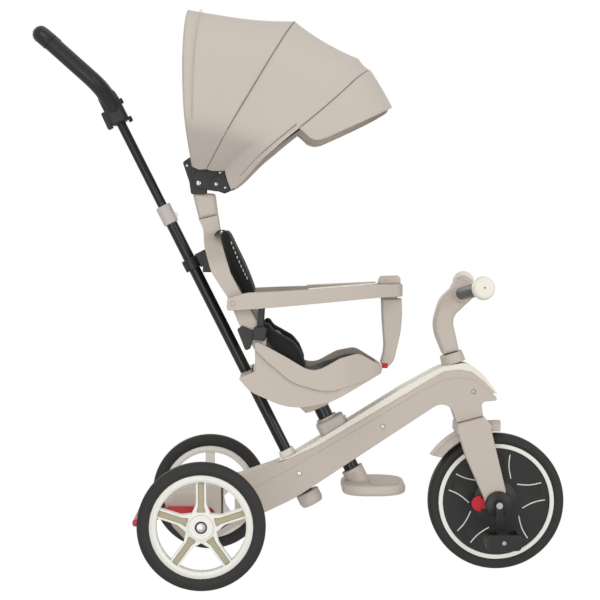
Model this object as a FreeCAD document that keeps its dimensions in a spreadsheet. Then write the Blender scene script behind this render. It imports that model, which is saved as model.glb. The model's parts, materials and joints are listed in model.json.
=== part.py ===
import FreeCAD, Part
import math
import os
import re

import Sketcher

# Push-along tricycle for a toddler. +X is forward, +Y is the rider's left, +Z is up.
# The origin is on the ground, under the middle of the overall length. Millimetres.

V = FreeCAD.Vector
DOC = FreeCAD.newDocument("tricycle")
UP = V(0, 0, 1)
ALONG_Y = V(0, 1, 0)
MIRRORED = (-1, 1)

# ---------------------------------------------------------------- driving dimensions

SIZES = {
    "running_gap": 0.06,
    "wall": 3.0,
    # wheels
    "front_axle_x": 361.0,
    "front_tyre_radius": 125.0,
    "front_tyre_width": 44.0,
    "front_rim_radius": 106.4,
    "front_ring_inner": 98.5,
    "front_rim_width": 34.0,
    "rear_axle_x": -174.0,
    "rear_track_half": 221.0,
    "rear_tyre_radius": 112.0,
    "rear_tyre_width": 35.0,
    "rear_rim_radius": 90.4,
    "rear_rim_inner": 78.0,
    "rear_rim_width": 30.0,
    "rear_hub_radius": 21.0,
    "spoke_width": 17.6,
    "spoke_channel": 10.5,
    "spokes": 5.0,
    "rear_rod_radius": 5.0,
    "sleeve_radius": 16.0,
    # crank and pedals
    "crank_radius": 6.0,
    "crank_throw": 56.0,
    "crank_offset": 73.0,
    "pedal_length": 62.0,
    "pedal_width": 72.0,
    "pedal_height": 28.0,
    # steering
    "head_tilt": 17.0,
    "steerer_radius": 12.5,
    "bearing_radius": 19.0,
    "fork_inner": 31.5,
    "fork_outer": 50.0,
    "bar_radius": 8.0,
    "grip_radius": 11.0,
    "cap_radius": 21.5,
    # main beam
    "beam_half": 33.0,
    "beam_skin": 5.0,
    "housing_half": 95.0,
    # push handle and seat post, parallel
    "post_tilt": 26.67,
    "post_radius": 14.0,
    "lower_tube_radius": 10.5,
    "lower_tube_bore": 8.6,
    "upper_tube_radius": 8.5,
    "lever_reach": 20.0,
    # seat
    "seat_half": 118.0,
    "back_half": 112.0,
    "bar_half": 131.0,
    # canopy
    "canopy_pivot_x": -185.0,
    "canopy_pivot_z": 710.0,
    "canopy_half": 160.0,
    "rib_radius": 2.5,
    "fabric": 2.0,
}

sheet = DOC.addObject("Spreadsheet::Sheet", "Sizes")
for row, (alias, value) in enumerate(SIZES.items(), start=1):
    sheet.set(f"A{row}", alias)
    sheet.set(f"B{row}", str(value))
    sheet.setAlias(f"B{row}", alias)
DOC.recompute()

size = {alias: float(sheet.get(alias)) for alias in SIZES}


def bind(obj, prop, formula):
    """Bind a property to sheet cells; the formula names the cells by alias."""
    pattern = r"\b(" + "|".join(SIZES) + r")\b"
    obj.setExpression(prop, re.sub(pattern, r"Sizes.\1", str(formula)))


# ---------------------------------------------------------------- outlines and placements


def rounded_edges(points, closed=True):
    """Straight edges joined by tangent arcs. A point is (u, v) or (u, v, corner radius)."""
    count = len(points)
    corners = []
    for i, point in enumerate(points):
        here = V(point[0], point[1], 0)
        radius = point[2] if len(point) > 2 else 0
        if radius == 0 or (not closed and i in (0, count - 1)):
            corners.append((here, here, None))
            continue
        before = (V(*points[i - 1][:2], 0) - here).normalize()
        after = (V(*points[(i + 1) % count][:2], 0) - here).normalize()
        half = before.getAngle(after) / 2
        cut = radius / math.tan(half)
        centre = here + (before + after).normalize() * (radius / math.sin(half))
        start, end = here + before * cut, here + after * cut
        middle = centre + (here - centre).normalize() * radius
        corners.append((start, end, Part.Arc(start, middle, end)))
    edges = []
    for i, (start, end, arc) in enumerate(corners):
        if arc:
            edges.append(arc)
        if i == count - 1 and not closed:
            break
        following = corners[(i + 1) % count][0]
        if end.distanceToPoint(following) > 1e-6:
            edges.append(Part.LineSegment(end, following))
    return edges


def circle(u, v, radius):
    return [Part.Circle(V(u, v, 0), UP, radius)]


def draw(sketch, *outlines):
    for outline in outlines:
        first = sketch.GeometryCount
        sketch.addGeometry(outline, False)
        joins = zip(range(len(outline)), outline, outline[1:])
        for i, here, following in joins:
            if isinstance(here, Part.LineSegment) and isinstance(following, Part.LineSegment):
                sketch.addConstraint(Sketcher.Constraint("Coincident", first + i, 2, first + i + 1, 1))


def new_sketch(body, plane, *outlines, offset=0.0):
    """A sketch on one of the body's own origin planes: XY, XZ or YZ."""
    sketch = body.newObject("Sketcher::SketchObject", body.Name + "_sketch")
    role = plane + "_Plane"
    sketch.AttachmentSupport = [(f, "") for f in body.Origin.OriginFeatures if f.Role == role]
    sketch.MapMode = "FlatFace"
    sketch.AttachmentOffset = FreeCAD.Placement(V(0, 0, offset), FreeCAD.Rotation())
    draw(sketch, *outlines)
    return sketch


def aimed(point, axis):
    """A placement at point whose own Z runs along axis."""
    return FreeCAD.Placement(V(*point), FreeCAD.Rotation(UP, V(*axis)))


def tilted(x, z, degrees, y=0.0):
    """A placement whose own Z leans back by degrees from vertical."""
    return FreeCAD.Placement(V(x, y, z), FreeCAD.Rotation(ALONG_Y, -degrees))


# ---------------------------------------------------------------- features


def new_body(name, place=None):
    body = DOC.addObject("PartDesign::Body", name)
    if place:
        body.Placement = place
    return body


def pad(body, plane, outlines, length, offset=0.0):
    """Pad outlines evenly to both sides of the sketch plane."""
    sketch = new_sketch(body, plane, *outlines, offset=offset)
    feature = body.newObject("PartDesign::Pad", body.Name + "_pad")
    feature.Profile = sketch
    feature.SideType = "Symmetric"
    bind(feature, "Length", length)
    DOC.recompute()
    return feature


def pocket(body, plane, outlines, length, offset=0.0):
    """Pocket outlines evenly to both sides of the sketch plane."""
    sketch = new_sketch(body, plane, *outlines, offset=offset)
    feature = body.newObject("PartDesign::Pocket", body.Name + "_pocket")
    feature.Profile = sketch
    feature.SideType = "Symmetric"
    bind(feature, "Length", length)
    DOC.recompute()
    return feature


def spin(body, outline, plane="XZ", axis="Z_Axis", groove=False):
    """Revolve an outline a full turn about one of the body's own axes."""
    kind = "PartDesign::Groove" if groove else "PartDesign::Revolution"
    sketch = new_sketch(body, plane, outline)
    feature = body.newObject(kind, body.Name + "_spin")
    feature.Profile = sketch
    line = [f for f in body.Origin.OriginFeatures if f.Role == axis][0]
    feature.ReferenceAxis = (line, [""])
    feature.Angle = 360
    DOC.recompute()
    return feature


def polar(body, feature, count, axis="Y_Axis"):
    pattern = body.newObject("PartDesign::PolarPattern", body.Name + "_pattern")
    pattern.Originals = [feature]
    line = [f for f in body.Origin.OriginFeatures if f.Role == axis][0]
    pattern.Axis = (line, [""])
    pattern.Angle = 360
    bind(pattern, "Occurrences", count)
    body.Tip = pattern
    DOC.recompute()
    return pattern


def soften(body, feature, radius, flat_axis):
    """Fillet the edges that lie in the pad's two end faces."""
    names = []
    for i, edge in enumerate(feature.Shape.Edges, start=1):
        box = edge.BoundBox
        depth = {"X": box.XLength, "Y": box.YLength, "Z": box.ZLength}[flat_axis]
        if depth < 1e-4:
            names.append(f"Edge{i}")
    fillet = body.newObject("PartDesign::Fillet", body.Name + "_fillet")
    fillet.Base = (feature, names)
    bind(fillet, "Radius", radius)
    DOC.recompute()
    return fillet


def slab(name, outline, width, fillet=None, plane="XZ", place=None, holes=()):
    """A moulded piece: its side outline padded to a width, with softened rims."""
    body = new_body(name, place)
    feature = pad(body, plane, [outline, *holes], width)
    if fillet:
        flat_axis = {"XZ": "Y", "XY": "Z", "YZ": "X"}[plane]
        soften(body, feature, fillet, flat_axis)
    return body


def turned(name, points, place):
    """A turned piece: (radius, height) points revolved about its own Z."""
    body = new_body(name, place)
    spin(body, rounded_edges(points))
    return body


def rod(name, radius, length, place):
    obj = DOC.addObject("Part::Cylinder", name)
    bind(obj, "Radius", radius)
    bind(obj, "Height", length)
    obj.Placement = place
    return obj


def rod_between_sides(name, radius, half, x, z):
    """A rod across the tricycle, from -half to +half."""
    reach = half if isinstance(half, float) else size[half]
    obj = rod(name, radius, f"2 * {half}", aimed((x, -reach, z), (0, 1, 0)))
    return obj


def block(name, x, y, z, place=None):
    """A box given by its (low, high) spans, in its placement's own axes."""
    obj = DOC.addObject("Part::Box", name)
    obj.Length, obj.Width, obj.Height = x[1] - x[0], y[1] - y[0], z[1] - z[0]
    inner = FreeCAD.Placement(V(x[0], y[0], z[0]), FreeCAD.Rotation())
    obj.Placement = place.multiply(inner) if place else inner
    return obj


def fuse(name, *parts):
    obj = DOC.addObject("Part::MultiFuse", name)
    obj.Shapes = list(parts)
    obj.Refine = True
    return obj


def group(name, *parts):
    obj = DOC.addObject("Part::Compound", name)
    obj.Links = list(parts)
    return obj


def cut(name, base, *tools):
    obj = DOC.addObject("Part::Cut", name)
    obj.Base = base
    obj.Tool = tools[0] if len(tools) == 1 else fuse(name + "_tools", *tools)
    return obj


def common(name, first, second):
    obj = DOC.addObject("Part::Common", name)
    obj.Base, obj.Tool = first, second
    return obj


def swept(name, points, radius, place=None):
    """A bent tube: a disc swept along a path of straight runs and tangent arcs."""
    path = DOC.addObject("Sketcher::SketchObject", name + "_path")
    edges = rounded_edges(points, closed=False)
    draw(path, edges)
    path.Placement = place or FreeCAD.Placement()
    start = path.Placement.multVec(V(*points[0][:2], 0))
    heading = path.Placement.multVec(V(*points[1][:2], 0)) - start
    disc = DOC.addObject("Sketcher::SketchObject", name + "_disc")
    disc.addGeometry(Part.Circle(V(0, 0, 0), UP, size[radius]), False)
    disc.addConstraint(Sketcher.Constraint("Radius", 0, size[radius]))
    bind(disc, "Constraints[0]", radius)
    disc.Placement = aimed(start, heading)
    sweep = DOC.addObject("Part::Sweep", name)
    sweep.Sections = [disc]
    sweep.Spine = (path, [f"Edge{i + 1}" for i in range(len(edges))])
    sweep.Solid = True
    sweep.Frenet = False
    return sweep


PARTS = {}


def part(name, obj):
    """Register a finished sub-part under its own label."""
    obj.Label = name
    PARTS[name] = obj
    return obj


# ---------------------------------------------------------------- shared places

HEAD_TILT = size["head_tilt"]
POST_TILT = size["post_tilt"]
FRONT_AXLE = (size["front_axle_x"], size["front_tyre_radius"])
REAR_AXLE = (size["rear_axle_x"], size["rear_tyre_radius"])
HUB_FOOT = (16.4, 133.7)
POST_AT = (67.2, 241.3)


def on_head(height):
    """Point of the steering axis at a height above the ground."""
    return FRONT_AXLE[0] - (height - FRONT_AXLE[1]) * math.tan(math.radians(HEAD_TILT)), height


def on_handle(height):
    """Point of the push handle's axis at a height above the ground."""
    return HUB_FOOT[0] - (height - HUB_FOOT[1]) * math.tan(math.radians(POST_TILT)), height


def on_post(height):
    """Point of the seat post's axis at a height above the ground."""
    return POST_AT[0] - (height - POST_AT[1]) * math.tan(math.radians(POST_TILT)), height


def along_head(height):
    return tilted(*on_head(height), HEAD_TILT)


def along_handle(height):
    return tilted(*on_handle(height), POST_TILT)


def along_post(height):
    return tilted(*on_post(height), POST_TILT)


# ---------------------------------------------------------------- main frame


def beam_tools():
    """Bores and the hollow that both beam shells share."""
    hollow = slab(
        "beam_hollow",
        rounded_edges([(-88, 112), (-12, 140), (228, 297), (250, 309), (264, 312), (290, 322),
                       (290, 340), (240, 336), (226, 331), (-30, 184), (-88, 146)]),
        "2 * (beam_half - beam_skin)",
    )
    lever_rooms = [block("front_lever_room", (-30, 26), (-28.5, 28.5), (0, 27), along_head(318)),
                   block("rear_lever_room", (-26, 26), (-28.5, 28.5), (-4, 12), along_handle(180))]
    head_bore = rod("head_bore", "bearing_radius", 140.0, along_head(262))
    handle_bore = rod("handle_bore", "lower_tube_radius + 0.5", 120.0, along_handle(118))
    post_bore = rod("post_bore", "post_radius + running_gap", 190.0, along_post(165))
    screw_holes = [
        rod(f"screw_hole_{i}_{'r' if side < 0 else 'l'}", 4.5, 6.0,
            aimed((x, side * (size["beam_half"] - 5.0), z), (0, side, 0)))
        for i, (x, z) in enumerate(BEAM_SCREWS) for side in MIRRORED
    ]
    return fuse("beam_tools", hollow, *lever_rooms, head_bore, handle_bore, post_bore, *screw_holes)


BEAM_SCREWS = [(151.0, 265.5), (-2.0, 179.5), (317.0, 329.5)]

PARTING = [(-112, 146.5), (-86, 152.5, 60), (-33, 179.5, 90), (229, 334.7, 60), (264, 351.5, 40),
           (290, 355.5, 50), (318, 350.5, 40), (352, 326)]
BEAM_BOTTOM = [(364, 313.5, 4), (331, 310.5, 8), (334.5, 285.1), (286.7, 272.3), (272, 318, 24),
               (240, 298.5, 40), (-10, 134, 300), (-112, 86)]
BEAM_TOP = [(356, 327), (334.5, 349, 20), (314, 365, 20), (292, 369.5, 30), (262, 366, 30),
            (31, 229.5, 200), (-22, 206, 100), (-112, 174.5)]
TRIM_TOP = [(-40, 201.2), (-12, 214.3, 100), (30, 239.5, 120), (186, 336, 120), (256, 374.5, 60),
            (304, 382.5, 26), (334, 362, 60), (361, 325)]


def make_beam():
    tools = beam_tools()
    lower = slab("lower_shell_body", rounded_edges(PARTING + BEAM_BOTTOM), "2 * beam_half")
    part("frame_lower_shell", cut("frame_lower_shell", lower, tools))
    upper = slab("upper_shell_body", rounded_edges(PARTING + BEAM_TOP), "2 * beam_half")
    trim = slab("top_trim_body", rounded_edges(TRIM_TOP + BEAM_TOP[:-2] + [(-22, 206)]),
                "2 * beam_half - 3")
    collar_room = rod("collar_room", 22.5, 40.0, along_head(380))
    socket = turned("handle_socket", [(10.6, 0), (16, 0), (14, 15, 1), (10.6, 15)], along_handle(207))
    part("frame_top_trim", cut("frame_top_trim", fuse("trim_shape", trim, socket), tools, collar_room))
    part("frame_upper_shell", cut("frame_upper_shell", upper, tools, trim, socket))


def make_rear_housing():
    """Pod that carries the rear axle: its side outline, narrowed to the beam in plan."""
    side = new_body("pod_side")
    feature = pad(side, "XZ", [rounded_edges([(-112, 174.5), (-168, 163, 60), (-226, 160, 22),
                                              (-247, 137, 8),
                                              (-233, 92, 30), (-205, 62, 30), (-160, 64, 60), (-112, 86)])],
                  "2 * housing_half")
    soften(side, feature, 12.0, "Y")
    half, beam = size["housing_half"], size["beam_half"]
    plan = new_body("pod_plan")
    pad(plan, "XY", [rounded_edges([(-260, -half), (-176, -half, 40), (-112, -beam), (-112, beam),
                                    (-176, half, 40), (-260, half)])], 400.0)
    bore = rod_between_sides("axle_bore", "rear_rod_radius", "housing_half", *REAR_AXLE)
    room = slab("pod_room", rounded_edges([(-120, 164), (-168, 154, 60), (-222, 150, 18), (-236, 135),
                                           (-224, 96, 30),
                                           (-202, 72, 20), (-162, 74, 60), (-120, 94)]), 128.0)
    part("rear_housing", cut("rear_housing", common("pod", side, plan), bore, room))
    part("rear_axle_rod", rod_between_sides("rear_axle_rod", "rear_rod_radius", 236.0, *REAR_AXLE))
    sleeves = []
    for side_sign in MIRRORED:
        start = side_sign * (half + BRAKE_ARM + 1.0)
        sleeves.append(cut(f"sleeve_{side_sign}",
                           rod(f"sleeve_outer_{side_sign}", "sleeve_radius", 99.0,
                               aimed((REAR_AXLE[0], start, REAR_AXLE[1]), (0, side_sign, 0))),
                           rod_between_sides(f"sleeve_bore_{side_sign}", "rear_rod_radius", 230.0,
                                             *REAR_AXLE)))
    part("axle_sleeves", group("axle_sleeves", *sleeves))


BRAKE_ARM = 9.0


def make_head_bearings():
    rings = [
        cut(f"bearing_{i}", rod(f"bearing_outer_{i}", "bearing_radius", 13.0, along_head(z)),
            rod(f"bearing_inner_{i}", "steerer_radius + running_gap", 13.0, along_head(z)))
        for i, z in enumerate((281.0, 352.0))
    ]
    collar = turned("head_collar", [(12.6, 0), (22.5, 0), (21, 19.3, 2), (12.6, 19.3)], along_head(380))
    part("head_rings", group("head_rings", *rings, collar))


def make_frame_screws():
    screws = []
    for i, (x, z) in enumerate(BEAM_SCREWS):
        for side in MIRRORED:
            start = side * (size["beam_half"] - 5.0)
            screws.append(turned(f"beam_screw_{i}_{'r' if side < 0 else 'l'}",
                                 [(0, 0), (4.5, 0), (4.5, 2), (3.6, 3), (1.9, 3), (1.9, 1.4), (0, 1.4)],
                                 aimed((x, start, z), (0, side, 0))))
    rod_end = 236.2
    for side in MIRRORED:
        screws.append(turned(f"axle_screw_{side}", [(0, 0), (7.2, 0), (7.2, 2.5, 1), (3, 3.2), (3, 1.6),
                                                    (0, 1.6)],
                             aimed((REAR_AXLE[0], side * rod_end, REAR_AXLE[1]), (0, side, 0))))
    part("frame_screws", group("frame_screws", *screws))


def make_post_collar():
    """Clamp on the beam that holds the seat post, with its release button."""
    place = along_post(253)
    body = new_body("collar_body", place)
    feature = pad(body, "XY", [rounded_edges([(-24, -25, 12), (30, -25, 10), (30, 25, 10), (-24, 25, 12)])],
                  26.0, offset=13.0)
    soften(body, feature, 4.0, "Z")
    bore = rod("collar_bore", "post_radius + running_gap", 60.0, along_post(230))
    window = block("collar_window", (17.5, 40), (-8, 8), (8, 18), place)
    beam = slab("collar_foot_cut", rounded_edges(TRIM_TOP + [(361, 200), (-40, 100)]), "2 * beam_half")
    ring = rod("collar_ring", "post_radius + 5", 31.0, place)
    part("seat_collar", cut("seat_collar", fuse("collar_shape", body, ring), bore, window, beam))
    part("seat_release_button", block("seat_release_button", (22.3, 33), (-7.6, 7.6), (8.4, 17.6), place))


# ---------------------------------------------------------------- brake


def make_brake():
    """Foot pedal whose two arms straddle the pod and turn on the axle rod."""
    x, z = REAR_AXLE
    middle = size["housing_half"] + 0.5 + BRAKE_ARM / 2
    arms = []
    for side in MIRRORED:
        arms.append(slab(f"brake_arm_{side}",
                         rounded_edges([(x + 20, z + 15, 15), (x + 20, z - 16, 15), (x - 14, z - 16, 14),
                                        (-205, 113, 30), (-242, 113, 20), (-272, 99), (-272, 112),
                                        (-238, 129, 10),
                                        (x, z + 17, 20)]),
                         BRAKE_ARM,
                         place=FreeCAD.Placement(V(0, side * middle, 0), FreeCAD.Rotation())))
    tread = slab("brake_tread", rounded_edges([(-262, 116), (-303, 103, 5), (-303, 90, 5), (-262, 103.5)]),
                 2 * middle - BRAKE_ARM)
    bore = rod_between_sides("brake_bore", "rear_rod_radius + running_gap", 120.0, x, z)
    part("brake_pedal", cut("brake_pedal", fuse("brake_shape", *arms, tread), bore))


# ---------------------------------------------------------------- wheels


def tyre(name, place, outer, inner, width):
    """Tyre about its own Y, slightly crowned, with a bead lip inside."""
    body = new_body(name, place)
    half = width / 2
    outline = rounded_edges([(inner, -half * 0.72, 3), (inner + 9, -half, 9), (outer, -half * 0.62, 9),
                             (outer, half * 0.62, 9), (inner + 9, half, 9), (inner, half * 0.72, 3)])
    spin(body, outline, plane="XY", axis="Y_Axis")
    return body


def rear_wheel(side, label):
    place = FreeCAD.Placement(V(REAR_AXLE[0], side * size["rear_track_half"], REAR_AXLE[1]),
                              FreeCAD.Rotation(UP, 0 if side < 0 else 180))
    part(f"rear_tyre_{label}", tyre(f"rear_tyre_{label}", place, size["rear_tyre_radius"],
                                    size["rear_rim_radius"], size["rear_tyre_width"]))
    body = new_body(f"rear_rim_{label}", place)
    half = size["rear_rim_width"] / 2
    outer, inner = size["rear_rim_radius"], size["rear_rim_inner"]
    spin(body, rounded_edges([(inner, -half + 3, 2), (inner + 5, -half, 2), (outer, -half * 0.8, 2),
                              (outer, half * 0.8, 2), (inner + 5, half, 2), (inner, half - 3, 2)]),
         plane="XY", axis="Y_Axis")
    wide, narrow = size["spoke_width"] / 2, size["spoke_channel"] / 2
    spoke = pad(body, "XZ", [rounded_edges([(-wide, 20, 4), (wide, 20, 4), (wide, 82), (-wide, 82)])], 18.0)
    polar(body, spoke, "spokes")
    hub = size["rear_hub_radius"]
    pad(body, "XZ", [circle(0, 0, hub)], "rear_rim_width")
    flare = pad(body, "XZ", [rounded_edges([(-wide - 11, hub - 6), (wide + 11, hub - 6), (wide, 40, 20),
                                            (wide, 52), (-wide, 52), (-wide, 40, 20)])], 18.0)
    polar(body, flare, "spokes")
    channel = pocket(body, "XZ", [rounded_edges([(-narrow - 3, 25, 2), (narrow + 3, 25, 2), (narrow, 36, 8),
                                                 (narrow, 79, 2), (-narrow, 79, 2), (-narrow, 36, 8)])],
                     6.0, offset=9.0)
    polar(body, channel, "spokes")
    pocket(body, "XZ", [circle(0, 0, size["rear_rod_radius"] + size["running_gap"])], 60.0)
    part(f"rear_rim_{label}", body)


def make_front_wheel():
    place = FreeCAD.Placement(V(FRONT_AXLE[0], 0, FRONT_AXLE[1]), FreeCAD.Rotation())
    part("front_tyre", tyre("front_tyre", place, size["front_tyre_radius"], size["front_rim_radius"],
                            size["front_tyre_width"]))
    half = size["front_rim_width"] / 2
    ring = size["front_ring_inner"]
    rim = new_body("front_rim", place)
    spin(rim, rounded_edges([(6.06, -half + 1), (26, -half + 1), (40, -half + 5, 8), (ring, -half + 3),
                             (ring, half - 3), (40, half - 5, 8), (26, half - 1), (6.06, half - 1)]),
         plane="XY", axis="Y_Axis")
    for face in MIRRORED:
        panel = pocket(rim, "XZ", [rounded_edges([(-19, 84, 7), (0, 47, 9), (19, 84, 7)])], 10.0,
                       offset=face * (half + 0.5))
        polar(rim, panel, "spokes")
    part("front_rim", rim)
    band = new_body("front_rim_ring", place)
    outer = size["front_rim_radius"]
    spin(band, rounded_edges([(ring, -half - 1, 1), (outer, -half - 1, 1), (outer, half + 1, 1),
                              (ring, half + 1, 1)]), plane="XY", axis="Y_Axis")
    part("front_rim_ring", band)


# ---------------------------------------------------------------- crank and pedals


def make_crank():
    x, z = FRONT_AXLE
    reach = size["crank_offset"]
    throw = size["crank_throw"]
    steel = [rod_between_sides("crank_spindle", "crank_radius", "crank_offset", x, z)]
    arms = []
    for side, label, drop in ((-1, "right", -1), (1, "left", 1)):
        turn = FreeCAD.Rotation(ALONG_Y, 0 if drop < 0 else 180)
        arm = slab(f"crank_arm_body_{label}",
                   rounded_edges([(-7, 8, 6.5), (7, 8, 6.5), (5.5, -throw - 7, 5), (-5.5, -throw - 7, 5)]),
                   8.0, fillet=1.5, place=FreeCAD.Placement(V(x, side * (reach - 3), z), turn))
        start = side * (reach - 7)
        hole = rod(f"crank_hole_{label}", "crank_radius", 30.0, aimed((x, start, z), (0, side, 0)))
        eye = rod(f"crank_eye_{label}", 4.0, 30.0, aimed((x, start, z + drop * throw), (0, side, 0)))
        arms.append(cut(f"crank_arm_{label}", arm, hole, eye))
        steel.append(rod(f"pedal_pin_{label}", 4.0, 80.0, aimed((x, start, z + drop * throw),
                                                                (0, side, 0))))
        make_pedal(side, label, x, z + drop * throw)
    part("crank_arms", group("crank_arms", *arms))
    part("crank_axle", group("crank_axle", *steel))


def make_pedal(side, label, x, z):
    width, length, height = size["pedal_width"], size["pedal_length"] / 2, size["pedal_height"] / 2
    middle = side * (size["crank_offset"] + 4 + width / 2)
    place = FreeCAD.Placement(V(x, middle, z), FreeCAD.Rotation())
    body = new_body(f"pedal_body_{label}", place)
    frame = pad(body, "XZ", [rounded_edges([(-length, -height, 7), (length, -height, 7),
                                            (length, height, 7),
                                            (-length, height, 7)])], "pedal_width")
    soften(body, frame, 3.0, "Y")
    for centre in (-1, 1):
        pocket(body, "XY", [rounded_edges([(centre * 18 - 8, -28, 3), (centre * 18 + 8, -28, 3),
                                           (centre * 18 + 8, 28, 3), (centre * 18 - 8, 28, 3)])], 60.0)
    bore = rod(f"pedal_bore_{label}", "4 + running_gap", 90.0, aimed((x, middle - 45, z), (0, 1, 0)))
    part(f"pedal_{label}", cut(f"pedal_{label}", body, bore))


# ---------------------------------------------------------------- fork, fender and steering


def make_fork():
    """Crown under the head and a leg down each side of the wheel."""
    legs = []
    for side in MIRRORED:
        middle = side * (size["fork_inner"] + size["fork_outer"]) / 2
        leg = slab(f"fork_leg_{side}",
                   rounded_edges([(288, 252), (300, 214, 60), (338, 128, 60), (345, 108, 14),
                                  (377, 108, 14),
                                  (375, 150, 60), (348, 262), (318, 268)]),
                   "fork_outer - fork_inner", fillet=4.0,
                   place=FreeCAD.Placement(V(0, middle, 0), FreeCAD.Rotation()))
        legs.append(leg)
    crown = slab("fork_crown", rounded_edges([(286, 271, 2), (285, 252, 6), (300, 247), (345, 258),
                                              (352, 264, 6), (335.5, 284.2, 2)]),
                 "2 * fork_outer", fillet=4.0)
    fender_room = rod_between_sides("fender_room", 150.4, 31.0, *FRONT_AXLE)
    wheel_room = rod_between_sides("wheel_room", "front_tyre_radius + 5", "fork_inner", *FRONT_AXLE)
    axle_hole = rod_between_sides("fork_axle_hole", "crank_radius + running_gap", 60.0, *FRONT_AXLE)
    slider_way = [block(f"slider_way_{side}", (-43, 24), (side * SLIDER_Y - 4.2, side * SLIDER_Y + 4.2),
                        (-9.2, 9.2),
                        FreeCAD.Placement(V(FRONT_AXLE[0], 0, FRONT_AXLE[1]), FreeCAD.Rotation()))
                  for side in MIRRORED]
    steerer_hole = rod("fork_steerer_hole", "steerer_radius", 60.0, along_head(258))
    part("fork", cut("fork", fuse("fork_shape", *legs, crown), wheel_room, fender_room, axle_hole,
                     *slider_way, steerer_hole))
    solid = fuse("steerer_solid", rod("steerer_outer", "steerer_radius", 160.0, along_head(270)),
                 lever("steerer_lever", along_head(330), size["steerer_radius"]))
    bore = rod("steerer_inner", "steerer_radius - 2.5", 170.0, along_head(262))
    part("steerer_tube", cut("steerer_tube", solid, bore))
    bosses = [
        cut(f"boss_{side}",
            turned(f"boss_body_{side}", [(0, 0), (24, 0), (24, 8, 3), (12, 11, 3), (0, 11)],
                   aimed((FRONT_AXLE[0], side * size["fork_outer"], FRONT_AXLE[1]), (0, side, 0))),
            rod(f"boss_hole_{side}", "crank_radius + running_gap", 90.0,
                aimed((FRONT_AXLE[0], side * 90, FRONT_AXLE[1]), (0, -side, 0))))
        for side in MIRRORED
    ]
    part("fork_bosses", group("fork_bosses", *bosses))


SLIDER_Y = 40.7


def make_slider():
    """Red slider through each fork foot that frees the pedals from the wheel."""
    x, z = FRONT_AXLE
    plates = []
    for side in MIRRORED:
        place = FreeCAD.Placement(V(x, side * SLIDER_Y, z), FreeCAD.Rotation())
        bar = slab(f"slider_bar_{side}", rounded_edges([(-48, 14, 13.9), (-48, -14, 13.9), (-31, -14),
                                                        (-31, -9),
                                                        (18, -9), (18, 9), (-31, 9), (-31, 14)]),
                   8.0, place=place)
        slot = block(f"slider_slot_{side}", (-9, 13), (-5, 5), (-6.3, 6.3), place)
        plates.append(cut(f"slider_plate_{side}", bar, slot))
    part("freewheel_slider", group("freewheel_slider", *plates))


def make_fender():
    """Arched guard over the tyre, from behind the fork to just ahead of it."""
    body = new_body("fender_arch", FreeCAD.Placement(V(FRONT_AXLE[0], 0, FRONT_AXLE[1]),
                                                     FreeCAD.Rotation()))
    spin(body, rounded_edges([(131, -30), (134, -30), (146, -22, 10), (150, 0, 60), (146, 22, 10),
                              (134, 30),
                              (131, 30), (142.5, 20, 10), (146.5, 0, 60), (142.5, -20, 10)]),
         plane="XY", axis="Y_Axis")
    sector = slab("fender_sector", rounded_edges([(FRONT_AXLE[0] - 3, 190), (372, 300), (180, 300),
                                                  (226, 214)]), 80.0)
    part("fender", common("fender", body, sector))


def make_stem():
    place = FreeCAD.Placement()
    column = slab("stem_column",
                  rounded_edges([(262, 396, 3), (241, 448, 70), (256, 498, 40), (304, 543, 8),
                                 (318, 531, 20),
                                 (322, 505, 12), (278, 464, 26), (291.5, 404, 3)]),
                  46.0, fillet=9.0, place=place)
    cross = rod_between_sides("stem_cross", 20.0, 31.0, 298, 513)
    shape = fuse("stem_shape", column, cross)
    bar_way = bar_tool("stem_bar_way")
    steerer_hole = rod("stem_steerer_hole", "steerer_radius", 60.0, along_head(380))
    part("handlebar_stem", cut("handlebar_stem", shape, bar_way, steerer_hole))


BAR_CENTRE = (289.0, 505.5)
BAR_TIP = (319.7, 195.0, 524.8)


def bar_frame(side):
    """Placement at the bar's middle whose own Z runs out along one half."""
    start = V(BAR_CENTRE[0], 0, BAR_CENTRE[1])
    tip = V(BAR_TIP[0], side * BAR_TIP[1], BAR_TIP[2])
    return aimed(start, tip - start)


def bar_half_length():
    return math.hypot(BAR_TIP[1], math.hypot(BAR_TIP[0] - BAR_CENTRE[0], BAR_TIP[2] - BAR_CENTRE[1]))


def bar_tool(name):
    halves = [rod(f"{name}_{side}", "bar_radius", bar_half_length() - 4,
                  bar_frame(side)) for side in MIRRORED]
    return fuse(name, *halves)


def make_bar():
    part("handlebar_tube", bar_tool("handlebar_tube"))
    length = bar_half_length()
    inner = size["bar_radius"]
    outer = size["grip_radius"]
    grips, caps = [], []
    for side in MIRRORED:
        place = bar_frame(side)
        grips.append(turned(f"grip_{side}", [(inner, 36), (outer, 36, 1), (outer + 1, 110, 200),
                                             (outer, length - 20), (inner, length - 20)], place))
        caps.append(turned(f"cap_{side}", [(inner, length - 20), (15, length - 20, 3),
                                           (size["cap_radius"], length - 12, 6),
                                           (size["cap_radius"] - 3, length, 5), (1.5, length + 1),
                                           (1.5, length - 4), (inner, length - 4)], place))
    part("handlebar_grips", group("handlebar_grips", *grips))
    part("bar_end_caps", group("bar_end_caps", *caps))


# ---------------------------------------------------------------- steering linkage inside the beam


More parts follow.
